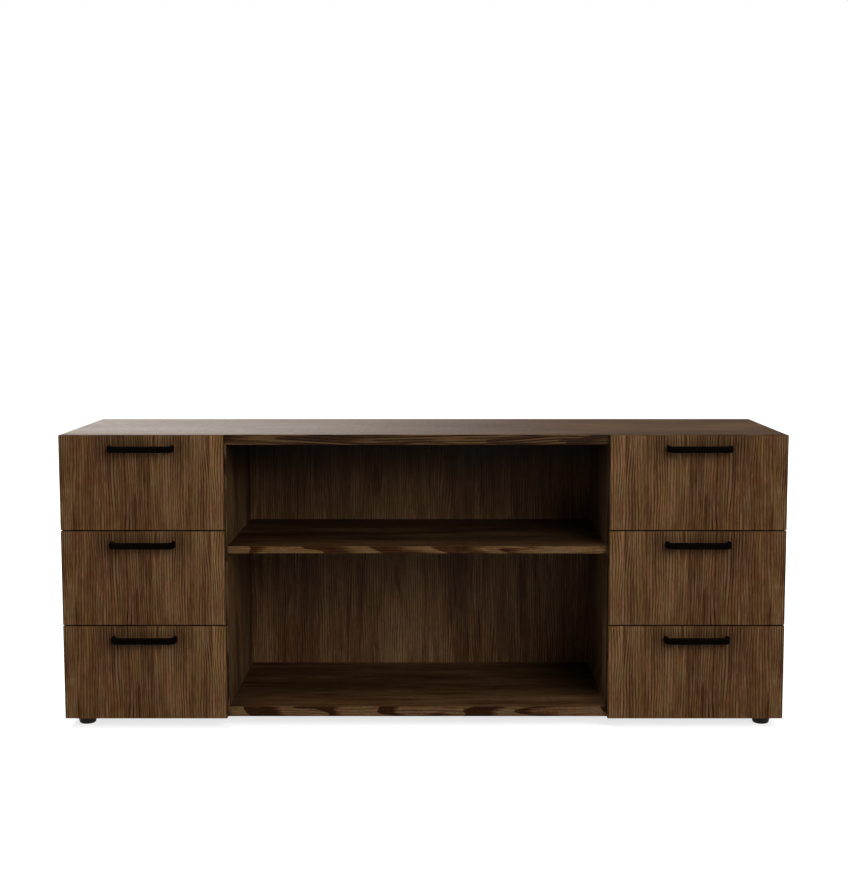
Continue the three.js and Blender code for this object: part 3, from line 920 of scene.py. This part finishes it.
class CREDENZA_OT_feet(bpy.types.Operator):
    """Turn the four round feet"""

    bl_idname = "credenza.feet"
    bl_label = "Feet"

    def execute(self, context):
        pulls = context.scene.credenza_pulls
        plastic = moulded("foot_plastic", pulls.foot, second=1.5, sheen=0.10)
        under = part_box("bottom_panel")[0].z
        for foot in FEET:
            low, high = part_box(foot)
            centre = ((low.x + high.x) / 2, (low.y + high.y) / 2, 0.0)
            profile = self.profile((high.x - low.x) / 2, under, high.z, pulls.sole)
            shape = turned(profile, centre, (0.0, 0.0, 1.0))
            made_piece(f"{foot}_turned", shape, plastic, "carcass", [foot])
        return {"FINISHED"}

    def profile(self, rim, under, stem_end, sole, edge=0.004, flare=0.005, drop=0.005, rounding=0.0015,
                rise=0.0012, ease=0.0006, stem=0.0045, steps=7):
        """Radius against height, from the sole up: a quarter turn that flares out, a slope to the shoulder's
        quarter turn, the eased rim under the panel, and the stem in the panel's bore."""
        turn = quarter(steps)
        foot = np.stack([sole - edge + flare * np.sin(turn), edge - edge * np.cos(turn)], 1)
        shoulder = np.stack([rim - rounding + rounding * np.sin(turn), under - drop + rise * turn], 1)
        top = [(rim, under - ease), (rim - ease, under), (stem, under), (stem, stem_end)]
        return np.vstack([foot, shoulder, top])


class CREDENZA_OT_stage(bpy.types.Operator):
    """Set the floor, the lamps, the card that the top reflects and the camera"""

    bl_idname = "credenza.stage"
    bl_label = "Stage"

    def execute(self, context):
        stage = context.scene.credenza_stage
        self.floor(stage)
        self.card()
        self.world(context.scene, stage)
        for name, (place, diameter, setting, in_gloss) in LAMPS.items():
            self.lamp(name, place, diameter, getattr(stage, setting)).visible_glossy = in_gloss
        self.camera(context.scene, stage)
        context.scene.view_settings.view_transform = "Standard"
        return {"FINISHED"}

    def seen(self, finish):
        """One for rays that meet the white background: from the camera, off gloss or let through."""
        path = finish.node("LightPath").outputs
        glossy = finish.maths("MAXIMUM", path["Is Camera Ray"], path["Is Glossy Ray"])
        return finish.maths("MAXIMUM", glossy, path["Is Transmission Ray"])

    def floor(self, stage, rings=(0.01, 2.0, 6.0, 20.0, 60.0), segments=64, drop=0.0002, speck=1.03):
        """A flat disc: rings of points, each a radius out along the cosine and sine of its angle."""
        angle = np.arange(segments) * 2 * pi / segments
        ring = np.stack([np.cos(angle), np.sin(angle), np.zeros(segments)], -1)
        points = np.multiply.outer(rings, ring) - (0.0, 0.0, drop)
        faces = grid_faces(len(rings), segments).tolist() + [list(range(segments))]
        finish = new_finish("floor_paper")
        x, y, z = finish.place()
        specks = finish.layer("paper_speck", x, y, z)
        colour = finish.mix(specks, stage.floor, np.multiply(speck, stage.floor))
        matte = finish.output("BsdfDiffuse", {"Color": colour})
        glow = finish.step(finish.distance(x, y), 1.3, 2.6, 0.75, 1.0)
        white = finish.output("Emission", {"Strength": finish.times(self.seen(finish), glow)})
        both = finish.output("AddShader", {0: matte, 1: white})
        finish.node("OutputMaterial", {"Surface": both})
        made_piece("floor", (points, faces), finish.owner)

    def card(self, half_width=4.0, low=0.3, high=3.2, behind=3.6, columns=9, rows=4):
        """A flat card behind the credenza that only its gloss sees: pale at the left, dark at the right."""
        x, z = np.meshgrid(np.linspace(-half_width, half_width, columns), np.linspace(low, high, rows))
        points = np.stack([x, np.full_like(x, behind), z], -1)
        faces = grid_faces(rows, columns, ring_columns=False)
        finish = new_finish("graded_card")
        shade = finish.step(finish.place()[0], -2.0, 1.1, 2.25, 0.15)
        light = finish.output("Emission", {"Color": (1.0, 0.96, 0.90, 1.0), "Strength": shade})
        finish.node("OutputMaterial", {"Surface": light})
        card = made_piece("graded_card", (points, faces), finish.owner)
        card.visible_camera = card.visible_diffuse = card.visible_shadow = card.visible_transmission = False

    def world(self, scene, stage):
        """White where the background is seen, and a plain soft light elsewhere."""
        scene.world = bpy.data.worlds.new("studio")
        finish = Finish(scene.world)
        soft, white = (finish.output("Background", {"Color": WHITE, "Strength": strength})
                       for strength in (stage.sky, 1.0))
        mixed = finish.output("MixShader", {0: self.seen(finish), 1: soft, 2: white})
        finish.node("OutputWorld", {"Surface": mixed})

    def lamp(self, name, place, diameter, power):
        light = bpy.data.lights.new(name, "AREA")
        light.shape, light.size, light.energy = "DISK", diameter, power
        lamp = added(name, light)
        lamp.location = place
        lamp.rotation_euler = (LAMP_AIM - Vector(place)).to_track_quat("-Z", "Y").to_euler()
        lamp.visible_camera = False
        return lamp

    def camera(self, scene, stage):
        data = bpy.data.cameras.new("camera")
        data.sensor_width, data.lens, data.shift_x = 36.0, stage.lens, stage.shift
        camera = added("camera", data)
        camera.location = stage.camera
        camera.rotation_euler = (pi / 2 - stage.tilt, 0.0, 0.0)
        scene.camera = camera


class CREDENZA_PT_panel(bpy.types.Panel):
    """The credenza's steps, in the order in which they are made"""

    bl_idname = "CREDENZA_PT_panel"
    bl_label = "Office credenza"
    bl_space_type = "VIEW_3D"
    bl_region_type = "UI"
    bl_category = "Credenza"

    def draw(self, context):
        for operator in OPERATORS:
            self.layout.operator(operator.bl_idname)


SETTINGS = {
    "credenza_walnut": WalnutSettings,
    "credenza_drawers": DrawerSettings,
    "credenza_pulls": PullSettings,
    "credenza_stage": StageSettings,
}
OPERATORS = (
    CREDENZA_OT_carcass,
    CREDENZA_OT_fronts,
    CREDENZA_OT_boxes,
    CREDENZA_OT_runners,
    CREDENZA_OT_pulls,
    CREDENZA_OT_bumpers,
    CREDENZA_OT_feet,
    CREDENZA_OT_stage,
)


def register():
    for name, group in SETTINGS.items():
        bpy.utils.register_class(group)
        setattr(bpy.types.Scene, name, PointerProperty(type=group))
    for kind in (*OPERATORS, CREDENZA_PT_panel):
        bpy.utils.register_class(kind)


def unregister():
    for kind in (CREDENZA_PT_panel, *reversed(OPERATORS)):
        bpy.utils.unregister_class(kind)
    for name, group in SETTINGS.items():
        delattr(bpy.types.Scene, name)
        bpy.utils.unregister_class(group)


def main():
    register()
    bpy.ops.credenza.carcass()
    bpy.ops.credenza.fronts()
    bpy.ops.credenza.boxes()
    bpy.ops.credenza.runners()
    bpy.ops.credenza.pulls()
    bpy.ops.credenza.bumpers()
    bpy.ops.credenza.feet()
    bpy.ops.credenza.stage()


if __name__ == "__main__":
    main()
